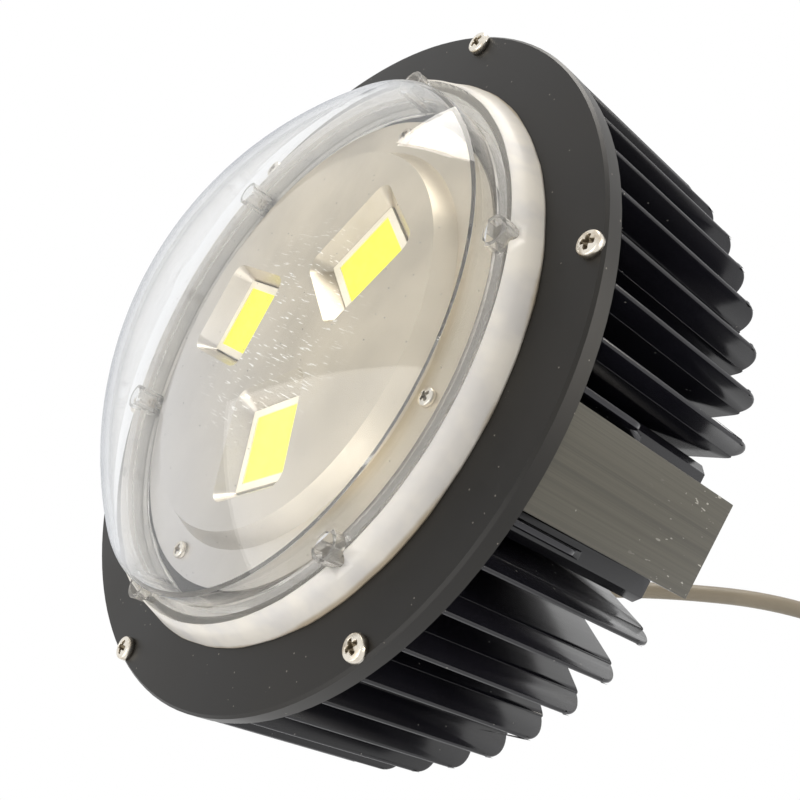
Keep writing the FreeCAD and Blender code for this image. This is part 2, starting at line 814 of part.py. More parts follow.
# the cable's route from the gland's mouth to the coil, chosen by hand
CABLE_POINTS = [
    (-43.47, 11.65, -20.0),
    (-43.47, 11.65, -40.0),
    (-40.5, 6.5, -62.0),
    (-28.6, -6.8, -83.8),
    (-12.2, -27.3, -106.6),
    (3.0, -54.0, -130.0),
    (9.0, -76.0, -158.0),
    (10.0, -92.0, -194.0),
    (10.0, -92.0, -232.0),
]
COIL_TURNS = 3
COIL_RADIUS = 36.0              # at the middle of the turns
COIL_BUNDLE = 7.1               # radius of the bundle of turns
COIL_STUB = 30.0                # straight length where the cable leaves the bundle


def make_cable():
    """The free cable, its coil with a tie, and the connector at its far end."""
    radius = dim.cable_radius.value
    pieces = [shape_feature("cable", round_tube(CABLE_POINTS, radius, "cable"))]

    x, y, z = CABLE_POINTS[-1]
    down = Vector(0, 0, -1)
    side = Vector(x, y, z - COIL_STUB)
    centre = side + Vector(0, COIL_RADIUS, 0)
    ring = Part.makeTorus(COIL_RADIUS, COIL_BUNDLE, centre, Vector(1, 0, 0))
    stubs = Part.makeCylinder(radius, 2 * COIL_STUB, Vector(x, y, z), down)
    pieces.append(shape_feature("cable_coil", ring.fuse(stubs).removeSplitter()))
    length = COIL_TURNS * 2 * math.pi * COIL_RADIUS + 2 * COIL_STUB
    print("cable_coil: %.0f mm along the cable" % length)

    tie_width, tie_wall = 4.0, 1.0
    spot = centre + Vector(0, COIL_RADIUS, -tie_width / 2)
    band = Part.makeCylinder(COIL_BUNDLE + 0.15 + tie_wall, tie_width, spot)
    hole = Part.makeCylinder(COIL_BUNDLE + 0.15, tie_width, spot)
    lock = Part.makeBox(5, 4, tie_width, spot + Vector(-2.5, COIL_BUNDLE + 0.6, 0))
    pieces.append(shape_feature("coil_tie", band.fuse(lock).cut(hole)))

    end = Vector(x, y, z - 2 * COIL_STUB)
    relief = Part.makeCone(radius + 1.5, 7.5, 10, end, down)
    barrel = Part.makeCylinder(7.5, 22, end + down * 10, down)
    nose = Part.makeCylinder(6.0, 10, end + down * 32, down)
    pieces.append(shape_feature("connector_body", relief.fuse([barrel, nose]).removeSplitter()))
    collar = Part.makeCylinder(9.5, 12, end + down * 20, down)
    cavity = Part.makeCylinder(7.65, 12, end + down * 20, down)
    collar = collar.cut(cavity)
    flutes = []
    for step in range(12):
        angle = math.radians(30 * step)
        place = end + Vector(10.2 * math.cos(angle), 10.2 * math.sin(angle), -22)
        flutes.append(Part.makeCylinder(1.3, 10, place, down))
    pieces.append(shape_feature("connector_nut", collar.cut(flutes)))
    return pieces


def make_led_wires():
    """Single wires that join the modules in a chain and go down the channel to the cable."""
    level = front.value + dim.led_base_thickness.value + dim.wire_radius.value + 0.05
    radius = dim.wire_radius.value
    deep = front.value - 14
    x, y = [size.value for size in polar_point(dim.gland_place_radius, dim.gland_angle)]

    def pad_point(angle, across):
        turn = math.radians(angle - 90)
        up = dim.led_place_radius.value
        return (across * math.cos(turn) - up * math.sin(turn),
                across * math.sin(turn) + up * math.cos(turn), level)

    solder, approach = 21.0, 30.0
    chains = [
        [pad_point(90, solder), pad_point(90, approach), (43.0, 24.0, level),
         pad_point(330, -approach), pad_point(330, -solder)],
        [pad_point(330, solder), pad_point(330, approach), (0.0, -49.0, level),
         pad_point(210, -approach), pad_point(210, -solder)],
        [pad_point(210, solder), (x - 1.0, y - 4.6, level), (x - 1.0, y - 1.0, level - 2.4),
         (x - 1.0, y - 0.9, deep)],
        [pad_point(90, -solder), pad_point(90, -approach), (x + 1.0, y + 6.0, level),
         (x + 1.0, y + 1.1, level - 2.4), (x + 1.0, y + 1.0, deep)],
    ]
    tubes = [round_tube(points, radius, "led_wires") for points in chains]
    return [shape_feature("led_wires", Part.makeCompound(tubes))]


# ---------------------------------------------------------------- build and export
def build():
    pieces = [make_heat_sink(), make_base_plate()]
    for number, angle in enumerate(LED_ANGLES, start=1):
        pieces.extend(make_led(number, angle))
    pieces.extend([make_reflector(), make_lens(), make_seal()])
    pieces.extend(make_fasteners())
    pieces.extend(make_gland())
    pieces.extend(make_cable())
    pieces.extend(make_led_wires())
    doc.recompute()
    for thing in doc.Objects:
        if "Invalid" in thing.State or "Error" in thing.State:
            raise RuntimeError("%s did not recompute: %s" % (thing.Name, thing.State))
    for piece in pieces:
        if piece.Shape.isNull() or not piece.Shape.isValid() or not piece.Shape.Solids:
            raise RuntimeError("%s has no valid solid" % piece.Label)
    return pieces


def export(pieces):
    os.makedirs("parts", exist_ok=True)
    for piece in pieces:
        piece.Shape.exportStep(os.path.join("parts", piece.Label + ".step"))
        print("%-18s %2d solids %10.0f mm3"
              % (piece.Label, len(piece.Shape.Solids), piece.Shape.Volume))


export(build())
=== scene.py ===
"""Finishes, detailed pieces, cord and studio for a high bay light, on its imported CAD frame.

Laid out as a Blender add-on and run as a script. Metres throughout. +Z is the optical axis, and
the origin is at the mouth of the hole in the middle of the heat sink's rear.
"""

import math

import bmesh
import bpy
from bpy.props import FloatProperty, FloatVectorProperty, PointerProperty
from mathutils import Matrix, Vector


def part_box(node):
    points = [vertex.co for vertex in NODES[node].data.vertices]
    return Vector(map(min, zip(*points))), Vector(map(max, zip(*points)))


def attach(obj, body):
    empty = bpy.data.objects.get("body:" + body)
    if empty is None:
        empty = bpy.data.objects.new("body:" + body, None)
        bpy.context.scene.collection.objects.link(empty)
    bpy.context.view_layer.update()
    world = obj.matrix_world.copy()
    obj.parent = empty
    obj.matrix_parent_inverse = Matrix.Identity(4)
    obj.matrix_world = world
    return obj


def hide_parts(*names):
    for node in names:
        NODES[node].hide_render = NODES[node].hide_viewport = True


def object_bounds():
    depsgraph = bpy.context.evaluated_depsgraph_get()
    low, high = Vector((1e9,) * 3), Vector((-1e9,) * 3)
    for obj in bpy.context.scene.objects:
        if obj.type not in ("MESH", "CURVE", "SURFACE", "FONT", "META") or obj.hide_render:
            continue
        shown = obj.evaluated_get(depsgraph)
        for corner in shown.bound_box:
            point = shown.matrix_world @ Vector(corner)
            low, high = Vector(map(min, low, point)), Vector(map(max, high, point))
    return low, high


bl_info = {
    "name": "High bay light",
    "version": (1, 0, 0),
    "blender": (4, 5, 0),
    "location": "View3D > Sidebar > High bay",
    "description": "Dresses the CAD frame of a high bay light",
    "category": "Object",
}

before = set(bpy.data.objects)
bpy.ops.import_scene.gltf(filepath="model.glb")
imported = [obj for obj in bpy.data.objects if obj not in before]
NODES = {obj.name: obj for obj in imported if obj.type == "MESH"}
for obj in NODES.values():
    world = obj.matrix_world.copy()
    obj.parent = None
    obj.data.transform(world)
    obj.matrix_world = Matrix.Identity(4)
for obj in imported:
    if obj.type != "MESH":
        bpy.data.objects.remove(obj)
CAD_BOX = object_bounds()
MM = 0.001

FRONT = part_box("base_plate")[1].z            # front face of the plate
LED_NUMBERS = (1, 2, 3)
RIM_SCREW_CIRCLE = 111.3 * MM
RIM_SCREW_ANGLES = [-3.55 + 60 * step for step in range(6)]
SHEET_SCREW_CIRCLE = 74.2 * MM
SHEET_SCREW_ANGLES = (0, 180, 270)
SHEET_SCREW_LEVEL = FRONT + 3.4 * MM

PAD_FACE = 113.2 * MM                        # only a pad reaches further out along Y
PAD_HALF_WIDTH = 15.0 * MM
FIN_FIRST_ANGLE = 15.05                      # from the middle of a pad to the first fin
FIN_COUNT = 22                               # on each side
FIN_PITCH = (180 - 2 * FIN_FIRST_ANGLE) / (FIN_COUNT - 1)
FIN_ROOT_RADIUS = 66.0 * MM
FIN_REACH_ASIDE = 1.6 * MM                   # a fin's points are nearer than this to its middle
FIN_STEP_RADIUS = 106.8 * MM
FIN_TIP_RADIUS = 115.0 * MM
FIN_BELOW_STEP = 1.15 * MM                   # half thicknesses, from the step outwards
FIN_ABOVE_STEP = 1.02 * MM
FIN_AT_TIP = 0.65 * MM
CLIPPED_FIN_PLACE = 17.15 * MM               # to the side of a pad's middle
CLIPPED_FIN_ROOT = 98.6 * MM
CLIPPED_FIN_HALF = 0.75 * MM

SEAL_EDGE = 95.5 * MM                        # what is further out is the seal's uneven edge
SQUEEZED_OUTER = 86.2 * MM                   # squeezed silicone inside the lens's flange
SQUEEZED_INNER = 84.2 * MM
LENS_CLEAR_FROM = FRONT + 17.0 * MM          # the moulding is milky below, clear above
LENS_MILKY_TO = FRONT + 10.0 * MM

WHITE = (1.0, 1.0, 1.0)
LAMPS = (                                    # name, place, target, size, watts, colour
    ("side", (0.42, -0.62, -0.42), (0, -0.02, 0.03), (0.50, 0.50), 10.0, (1.0, 0.94, 0.84)),
    ("key", (-0.60, -0.35, 0.95), (0, 0, 0.05), (1.40, 1.40), 9.5, (1.0, 0.98, 0.95)),
    ("rim", (0.98, 0.30, 0.20), (0, 0, 0.04), (0.50, 0.80), 6.5, (1.0, 0.96, 0.90)),
)
COOL_SIDE = (0.42, 0.43, 0.45)
WARM_SIDE = (0.62, 0.59, 0.53)
WARM_DIRECTION = (0.45, -0.55, -0.30)
FLOOR_GAP = 0.02                             # under the lowest point
FLOOR_HALF = 2.0


# ---------------------------------------------------------------- settings
def tint(name, description, default):
    return FloatVectorProperty(name=name, description=description, default=default,
                               subtype="COLOR", size=3, min=0.0, max=1.0)


def length(name, description, default):
    return FloatProperty(name=name, description=description, default=default,
                         min=0.0, unit="LENGTH", precision=5)


class HighBayFinishes(bpy.types.PropertyGroup):
    """Colours of the light's finishes."""

    anodised: tint("Fins", "Black anodised extrusion", (0.0055, 0.0055, 0.0080))
    pad: tint("Pads", "Worn anodising on the side pads", (0.066, 0.062, 0.048))
    satin: tint("Front plate", "Satin black plate", (0.0085, 0.0075, 0.0062))
    nickel: tint("Screws", "Nickel plated steel", (0.80, 0.75, 0.66))
    silicone: tint("Seal", "White silicone", (0.87, 0.83, 0.76))
    sheet: tint("Reflector", "Satin aluminium sheet", (0.62, 0.55, 0.43))
    cream: tint("LED frame", "Cream plastic", (0.87, 0.80, 0.64))
    phosphor: tint("Phosphor", "Yellow phosphor silicone", (0.92, 0.87, 0.03))
    jacket: tint("Cable", "Taupe rubber jacket", (0.250, 0.215, 0.160))


class HighBaySizes(bpy.types.PropertyGroup):
    """Sizes of the modelled detail."""

    fin_edge: length("Fin edge", "Rounding of the fins' tips", 0.55 * MM)
    edge: length("Edge", "Broken edge of turned metal and mouldings", 0.30 * MM)
    cable_diameter: length("Cable", "Diameter of the cable", 6.4 * MM)
    cable_length: length("Cable length", "Length from the gland to the connector", 0.995)


class HighBayCamera(bpy.types.PropertyGroup):
    """The view of the light."""

    place: FloatVectorProperty(name="Place", description="Where the camera stands",
                               default=(-0.0159, -0.2801, 0.2350), subtype="TRANSLATION")
    heading: FloatProperty(name="Heading", description="Turn about the vertical",
                           default=math.radians(-4.33), subtype="ANGLE")
    pitch: FloatProperty(name="Pitch", description="Tilt below the horizon",
                         default=math.radians(33.48), subtype="ANGLE")
    roll: FloatProperty(name="Roll", description="Turn about the line of sight",
                        default=math.radians(-59.3), subtype="ANGLE")
    lens: FloatProperty(name="Lens", description="Focal length on a 36 mm sensor",
                        default=45.34, min=1.0)
    shift_x: FloatProperty(name="Shift X", description="Sideways framing", default=0.0290)
    shift_y: FloatProperty(name="Shift Y", description="Upward framing", default=-0.0386)


# ---------------------------------------------------------------- shader helpers
class Signal:
    """A shader socket whose arithmetic adds Math nodes."""

    def __init__(self, nodes, socket):
        self.nodes = nodes
        self.socket = socket

    def _math(self, operation, first, second):
        return self.nodes.node("Math", {"operation": operation}, {0: first, 1: second})

    def __add__(self, other):
        return self._math("ADD", self, other)

    __radd__ = __add__

    def __sub__(self, other):
        return self._math("SUBTRACT", self, other)

    def __rsub__(self, other):
        return self._math("SUBTRACT", other, self)

    def __mul__(self, other):
        return self._math("MULTIPLY", self, other)

    __rmul__ = __mul__

    def __gt__(self, other):
        return self._math("GREATER_THAN", self, other)

    def __lt__(self, other):
        return self._math("LESS_THAN", self, other)

    def __abs__(self):
        return self.nodes.node("Math", {"operation": "ABSOLUTE"}, {0: self})

    def larger(self, other):
        return self._math("MAXIMUM", self, other)


class Nodes:
    """A node tree and the nodes that are added to it."""

    def __init__(self, tree):
        self.tree = tree

    def node(self, kind, settings=None, inputs=None, output=0):
        """Adds a shader node, sets it up, fills its inputs and returns one of its outputs."""
        made = self.tree.nodes.new("ShaderNode" + kind)
        for key, value in (settings or {}).items():
            setattr(made, key, value)
        for key, value in (inputs or {}).items():
            self.feed(made.inputs[key], value)
        return Signal(self, made.outputs[output])

    def feed(self, socket, value):
        """Links a signal to a socket, or sets the socket's own value."""
        if isinstance(value, Signal):
            self.tree.links.new(value.socket, socket)
        elif socket.type == "RGBA" and len(value) == 3:
            socket.default_value = (*value, 1.0)
        else:
            socket.default_value = value

    def outputs(self, kind, inputs=None):
        """Adds a node and returns all its outputs by name."""
        made = self.node(kind, None, inputs).socket.node
        return {socket.name: Signal(self, socket) for socket in made.outputs}

    def blend(self, factor, first, second):
        """A colour between two others."""
        return self.node("Mix", {"data_type": "RGBA"}, {0: factor, 6: first, 7: second}, output=2)

    def backdrop_rays(self):
        """1 for the camera, and for what it sees in metal and through glass."""
        path = self.outputs("LightPath")
        return path["Is Camera Ray"].larger(path["Is Glossy Ray"]).larger(
            path["Is Transmission Ray"])


class Finish(Nodes):
    """A node material built from one Principled shader."""

    def __init__(self, name):
        self.material = bpy.data.materials.new(name)
        self.material.use_nodes = True
        super().__init__(self.material.node_tree)
        self.shader = self.tree.nodes["Principled BSDF"]
        self.output = self.tree.nodes["Material Output"]

    def set(self, **values):
        """Sets the shader's sockets; underscores stand for spaces."""
        for key, value in values.items():
            self.feed(self.shader.inputs[key.replace("_", " ")], value)
        return self

    def place(self, scale=(1, 1, 1), turn=(0, 0, 0)):
        """Object coordinates, scaled and turned."""
        point = self.node("TexCoord", output=3)
        return self.node("Mapping", None, {"Vector": point, "Scale": scale, "Rotation": turn})

    def noise(self, scale, detail=3.0, rough=0.5, turn=(0, 0, 0)):
        """Noise with as many cells to the metre along each axis as scale says."""
        return self.node("TexNoise", None, {"Vector": self.place(scale, turn), "Scale": 1.0,
                                            "Detail": detail, "Roughness": rough})

    def ramp(self, signal, low, high, start=0.0, end=1.0):
        """A smooth step from start, where the signal is low, to end, where it is high."""
        return self.node("MapRange", {"interpolation_type": "SMOOTHSTEP"},
                         {"Value": signal, "From Min": low, "From Max": high,
                          "To Min": start, "To Max": end})

    def bump(self, height, strength, distance):
        normal = self.node("Bump", None, {"Strength": strength, "Distance": distance,
                                          "Height": height})
        return self.set(Normal=normal)

    def radius(self, point):
        """Distance from the optical axis."""
        flat = self.node("VectorMath", {"operation": "MULTIPLY"}, {0: point, 1: (1, 1, 0)})
        return self.node("VectorMath", {"operation": "LENGTH"}, {0: flat}, output=1)

    def shade(self, factor, first, second):
        """Mixes two shaders, puts the result on the surface and returns it."""
        mixed = self.node("MixShader", None, {0: factor, 1: first, 2: second})
        self.tree.links.new(mixed.socket, self.output.inputs["Surface"])
        return mixed

    def specks(self, vector, scale, amount):
        """A mask of scattered specks: amount is the share of cells that hold one."""
        cell = {"Vector": vector, "Scale": scale}
        near = self.node("TexVoronoi", None, cell, output=0) < 0.16
        pick = self.node("TexVoronoi", None, cell, output=1)
        return near * (self.node("SeparateColor", None, {"Color": pick}) < amount)


def scaled(factor, colour):
    return tuple(factor * part for part in colour)


# ---------------------------------------------------------------- finishes
def anodised_finish(colours):
    """Glossy black fins and duller, scratched side pads with the die's lines along Z."""
    skin = Finish("black_anodised_extrusion")
    point = skin.place()
    axes = skin.outputs("SeparateXYZ", {"Vector": point})
    on_pad = (abs(axes["Y"]) > PAD_FACE) * (abs(axes["X"]) < PAD_HALF_WIDTH)

    fine = skin.noise((2600, 2600, 3), 5.0, 0.65)
    broad = skin.noise((520, 520, 2))
    cloud = skin.noise((14, 14, 30))
    dust = skin.specks(point, 620.0, 0.035)
    scratch = skin.noise((900, 900, 300), 1.0, turn=(0.5, 0.9, 0))
    low = skin.ramp(axes["Z"], 0.040, 0.010)
    scratch = skin.ramp(scratch, 0.70, 0.73) * on_pad * low

    fins = skin.blend(skin.ramp(cloud, 0.35, 0.7), colours.anodised,
                      scaled(1.8, colours.anodised))
    worn = skin.blend(skin.ramp(fine, 0.36, 0.64), scaled(0.86, colours.pad),
                      scaled(1.14, colours.pad))
    worn = skin.blend(skin.ramp(broad, 0.60, 0.70) * 0.35, worn, (0.02, 0.02, 0.017))
    worn = skin.blend(scratch * 0.6, worn, (0.55, 0.54, 0.50))
    colour = skin.blend(on_pad, fins, worn)
    colour = skin.blend(dust * 0.4, colour, (0.40, 0.39, 0.36))
    rough = skin.ramp(broad, 0.3, 0.7, 0.17, 0.24) + on_pad * 0.20
    skin.set(Base_Color=colour, Metallic=0.0, Roughness=rough, Specular_IOR_Level=0.5)
    return skin.bump(fine, 0.05, 0.00003).material


def satin_finish(colours):
    """Satin black plate with fine dust."""
    skin = Finish("satin_black_plate")
    cloud = skin.noise((22, 22, 22), 4.0)
    grain = skin.noise((2400, 2400, 2400), 2.0)
    dust = skin.specks(skin.place(), 640.0, 0.045)
    colour = skin.blend(skin.ramp(cloud, 0.35, 0.72), colours.satin, scaled(1.6, colours.satin))
    colour = skin.blend(dust * 0.5, colour, (0.34, 0.31, 0.27))
    skin.set(Base_Color=colour, Metallic=0.0,
             Roughness=skin.ramp(cloud, 0.3, 0.7, 0.34, 0.44), Specular_IOR_Level=0.32)
    return skin.bump(grain, 0.08, 0.00003).material


def nickel_finish(colours):
    """Warm nickel plating with a little tarnish."""
    skin = Finish("nickel_plated_steel")
    cloud = skin.noise((260, 260, 260), 4.0)
    colour = skin.blend(skin.ramp(cloud, 0.45, 0.75), colours.nickel, (0.42, 0.34, 0.24))
    skin.set(Base_Color=colour, Metallic=1.0, Roughness=skin.ramp(cloud, 0.3, 0.7, 0.18, 0.34))
    return skin.bump(cloud, 0.12, 0.0001).material


def silicone_finish(colours):
    """White silicone with a thin yellowed line at its outer edge."""
    skin = Finish("white_silicone")
    reach = skin.radius(skin.place())
    wander = skin.noise((70, 70, 70))
    edge = skin.ramp(reach + wander * 0.0008, 0.0962, 0.0968)
    clean = skin.blend(skin.ramp(wander, 0.35, 0.7), colours.silicone, (0.72, 0.70, 0.68))
    colour = skin.blend(edge * 0.75, clean, (0.42, 0.33, 0.20))
    skin.set(Base_Color=colour, Roughness=0.38, Subsurface_Weight=0.15,
             Subsurface_Radius=(0.004, 0.004, 0.004), Subsurface_Scale=1.0)
    return skin.bump(wander, 0.35, 0.0008).material


def lens_finish():
    """Clear moulded plastic: milky at the flange, with a blue-grey film at the limb that is
    partly dust and partly painted reflection.
    """
    skin = Finish("clear_moulded_plastic")
    point = skin.place()
    height = skin.outputs("SeparateXYZ", {"Vector": point})["Z"]
    haze = skin.noise((38, 38, 38), 5.0)
    dust = skin.specks(point, 700.0, 0.05)
    skin.set(Base_Color=(0.985, 0.992, 1.0), Transmission_Weight=1.0, IOR=1.49,
             Roughness=skin.ramp(haze, 0.5, 0.8, 0.0, 0.04))
    low = skin.ramp(height, LENS_CLEAR_FROM, LENS_MILKY_TO)
    dust_and_reflection_tone = skin.blend(skin.ramp(haze, 0.35, 0.65), (0.23, 0.265, 0.33), (0.40, 0.435, 0.49))
    film = skin.node("BsdfPrincipled", None, {
        "Base Color": skin.blend(low, dust_and_reflection_tone, (0.80, 0.77, 0.72)), "Roughness": 0.5})
    # The film grows at grazing angles: partly dust, partly a painted reflection of the room.
    facing = skin.node("LayerWeight", None, {"Blend": 0.5}, output=1)
    limb = skin.ramp(facing, 0.70, 0.98) * (0.62 - low * 0.40)
    filmed = skin.shade(limb + low * 0.12 + dust * 0.25,
                        Signal(skin, skin.shader.outputs[0]), film)
    through = skin.node("BsdfTransparent", None, {"Color": (0.93, 0.93, 0.92)})
    skin.shade(skin.outputs("LightPath")["Is Shadow Ray"], filmed, through)
    return skin.material


def sheet_finish(colours):
    """Satin aluminium sheet: brushed, greyer on one side as painted reflection, with scuffs and
    painted glints between the pockets.
    """
    skin = Finish("satin_reflector_sheet")
    point = skin.place()
    axes = skin.outputs("SeparateXYZ", {"Vector": point})
    brush = skin.noise((60, 1700, 400), 4.0, turn=(0, 0, math.radians(35)))
    cloud = skin.noise((26, 26, 26))
    scuffs_and_glints = skin.noise((1500, 150, 400), turn=(0, 0, math.radians(-28)))
    # Painted reflection: the sheet turns grey towards one side.
    painted_reflection_side = skin.ramp(axes["X"] - axes["Y"] * 0.6, 0.020, -0.085)
    middle = skin.ramp(skin.radius(point), 0.048, 0.020)
    colour = skin.blend(skin.ramp(cloud, 0.3, 0.75), colours.sheet, scaled(0.72, colours.sheet))
    colour = skin.blend(painted_reflection_side * 0.8, colour, (0.56, 0.55, 0.55))
    # Bright streaks between the pockets: partly scuffs, partly painted glints.
    colour = skin.blend(skin.ramp(scuffs_and_glints, 0.60, 0.68) * middle, colour, (0.92, 0.90, 0.85))
    skin.set(Base_Color=colour, Metallic=0.85, Roughness=skin.ramp(brush, 0.3, 0.7, 0.28, 0.40))
    return skin.bump(brush, 0.12, 0.00005).material


def plastic_finish(name, colour, rough=0.4, grain=900.0):
    """Moulded plastic or rubber with a fine grain."""
    skin = Finish(name)
    fine = skin.noise((grain, grain, grain))
    cloud = skin.noise((60, 60, 60))
    colour = skin.blend(skin.ramp(cloud, 0.3, 0.75), colour, scaled(0.85, colour))
    skin.set(Base_Color=colour, Roughness=skin.ramp(fine, 0.3, 0.7, rough - 0.05, rough + 0.06))
    return skin.bump(fine, 0.12, 0.00005).material


def phosphor_finish(colours):
    """Smooth yellow silicone, brightened by a little painted glow."""
    skin = Finish("yellow_phosphor")
    cloud = skin.noise((300, 300, 300))
    colour = skin.blend(skin.ramp(cloud, 0.35, 0.7), colours.phosphor, (0.95, 0.86, 0.05))
    # The emission is a painted glow that brightens the yellow.
    skin.set(Base_Color=colour, Roughness=0.28, Subsurface_Weight=0.1,
             Subsurface_Radius=(0.002, 0.002, 0.001),
             Emission_Color=colour, Emission_Strength=0.16)
    return skin.material


def metal_finish(name, colour, rough):
    """Bare metal with cloudy gloss."""
    skin = Finish(name)
    cloud = skin.noise((200, 200, 200))
    skin.set(Base_Color=skin.blend(cloud, colour, scaled(0.85, colour)),
             Metallic=1.0, Roughness=skin.ramp(cloud, 0.3, 0.7, rough, rough + 0.1))
    return skin.material


def floor_finish():
    """Matt and pale, white as a backdrop, and clear from below."""
    skin = Finish("pale_floor")
    skin.set(Base_Color=(0.9, 0.9, 0.9), Roughness=0.9)
    white = skin.node("Emission", None, {"Color": WHITE, "Strength": 1.0})
    above = skin.shade(skin.backdrop_rays(), Signal(skin, skin.shader.outputs[0]), white)
    below = skin.outputs("NewGeometry")["Backfacing"]
    skin.shade(below, above, skin.node("BsdfTransparent"))
    return skin.material


# ---------------------------------------------------------------- mesh helpers
def show(mesh, name, materials, replaces=()):
    """Puts a finished mesh in the scene as a piece that rides on the light."""
    piece = bpy.data.objects.new(name, mesh)
    bpy.context.scene.collection.objects.link(piece)
    for material in materials:
        mesh.materials.append(material)
    for face in piece.data.polygons:
        face.use_smooth = True
    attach(piece, "root")
    if replaces:
        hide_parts(*replaces)
    return piece


def bmesh_to_mesh(shape, name):
    """Ends a bmesh as a new mesh."""
    mesh = bpy.data.meshes.new(name)
    shape.to_mesh(mesh)
    shape.free()
    return mesh


def soften(piece, width, segments, weighted):
    """Rounds a piece's sharp edges and keeps its flats flat; the result is applied."""
    bevel = piece.modifiers.new("edges", "BEVEL")
    bevel.width = width
    bevel.segments = segments
    bevel.limit_method = "WEIGHT" if weighted else "ANGLE"
    bevel.angle_limit = math.radians(32)
    bevel.use_clamp_overlap = not weighted
    bevel.harden_normals = True
    bevel.miter_outer = "MITER_SHARP"
    bevel.miter_inner = "MITER_SHARP"
    bevel.loop_slide = False
    bpy.context.view_layer.update()
    finished = bpy.data.meshes.new_from_object(
        piece.evaluated_get(bpy.context.evaluated_depsgraph_get()))
    piece.modifiers.clear()
    piece.data = finished
    return piece


def dressed_copy(node, name, material, width, segments=2, prepare=None):
    """A welded copy of a CAD node with softened edges, which stands for the node."""
    shape = bmesh.new()
    shape.from_mesh(NODES[node].data)
    bmesh.ops.remove_doubles(shape, verts=shape.verts, dist=0.002 * MM)
    bmesh.ops.dissolve_limit(shape, angle_limit=math.radians(0.6), verts=shape.verts,
                             edges=shape.edges, use_dissolve_boundaries=False)
    if prepare:
        prepare(shape)
    piece = show(bmesh_to_mesh(shape, name), name, [material], (node,))
    return soften(piece, width, segments, weighted=prepare is not None)


def finish_nodes(material, *nodes):
    """Gives carried over CAD nodes their finish."""
    for node in nodes:
        mesh = NODES[node].data
        mesh.materials.clear()
        mesh.materials.append(material)


# ---------------------------------------------------------------- operators: metalwork
def nearest_fin(point):
    """The direction of the fin that a point belongs to, and the direction across it."""
    around = math.degrees(math.atan2(abs(point.x), point.y))
    index = round((around - FIN_FIRST_ANGLE) / FIN_PITCH)
    if math.hypot(point.x, point.y) < FIN_ROOT_RADIUS or not 0 <= index < FIN_COUNT:
        return None
    turn = math.radians(FIN_FIRST_ANGLE + index * FIN_PITCH)
    along = Vector((math.copysign(math.sin(turn), point.x), math.cos(turn), 0.0))
    aside = Vector((-along.y, along.x, 0.0))
    if abs(point.dot(aside)) > FIN_REACH_ASIDE:
        return None
    return along, aside


def draw_in_fins(shape):
    """Thins the fins towards their tips."""
    for vert in shape.verts:
        x, y, _ = vert.co
        past = abs(x) - CLIPPED_FIN_PLACE
        if abs(past) < 1.2 * MM and abs(y) > CLIPPED_FIN_ROOT:
            place = CLIPPED_FIN_PLACE + math.copysign(CLIPPED_FIN_HALF, past)
            vert.co.x = math.copysign(place, x)
            continue
        fin = nearest_fin(vert.co)
        if fin is None or vert.co.dot(fin[0]) < FIN_STEP_RADIUS - 0.1 * MM:
            continue
        along, aside = fin
        reach, offset = vert.co.dot(along), vert.co.dot(aside)
        share = (reach - FIN_STEP_RADIUS) / (FIN_TIP_RADIUS - FIN_STEP_RADIUS)
        half = FIN_ABOVE_STEP + (FIN_AT_TIP - FIN_ABOVE_STEP) * share
        if abs(offset) > 1.3 * MM:
            half = FIN_BELOW_STEP
        vert.co += aside * (math.copysign(half, offset) - offset)
    bmesh.ops.remove_doubles(shape, verts=shape.verts, dist=0.12 * MM)


def edge_share(edge):
    """How much of the full rounding an edge of the heat sink gets."""
    if len(edge.link_faces) != 2 or edge.calc_face_angle(0.0) < math.radians(30):
        return 0.0
    middle = (edge.verts[0].co + edge.verts[1].co) / 2
    fin = nearest_fin(middle)
    if fin and middle.dot(fin[0]) > FIN_STEP_RADIUS + 0.7 * MM:
        return 1.0
    if fin and middle.dot(fin[0]) > FIN_STEP_RADIUS - 0.8 * MM:
        return 0.12
    return 0.4


def thin_fins(shape):
    """Draws the fins in towards their tips and marks how far each edge is rounded."""
    draw_in_fins(shape)
    weight = shape.edges.layers.float.new("bevel_weight_edge")
    for edge in shape.edges:
        edge[weight] = edge_share(edge)


class HIGHBAY_OT_heat_sink(bpy.types.Operator):
    """Thin the fins towards their tips, round their edges and finish the heat sink"""

    bl_idname = "highbay.heat_sink"
    bl_label = "Heat sink"

    def execute(self, context):
        finish = anodised_finish(context.scene.high_bay_finishes)
        edge = context.scene.high_bay_sizes.fin_edge
        dressed_copy("heat_sink", "finned_extrusion", finish, edge,
                     segments=3, prepare=thin_fins)
        return {"FINISHED"}


class HIGHBAY_OT_front_plate(bpy.types.Operator):
    """Finish the front plate"""

    bl_idname = "highbay.front_plate"
    bl_label = "Front plate"

    def execute(self, context):
        finish_nodes(satin_finish(context.scene.high_bay_finishes), "base_plate")
        return {"FINISHED"}


def cross_depth(x, y, radius, depth):
    """How deep a cross recess is at a point of a screw head."""
    long, short = max(abs(x), abs(y)), min(abs(x), abs(y))
    arm = 0.60 * radius
    half = 0.13 * radius
    if long > arm:
        return 0.0
    wall = 0.06 * radius
    side = min(max((half + wall - short) / wall, 0.0), 1.0)
    fillet = min(max((0.30 * radius - long - short) / wall + 1.0, 0.0), 1.0)
    end = min(max((arm - long) / wall, 0.0), 1.0)
    taper = 1.0 - 0.55 * long / arm
    return depth * max(side * end, fillet) * taper


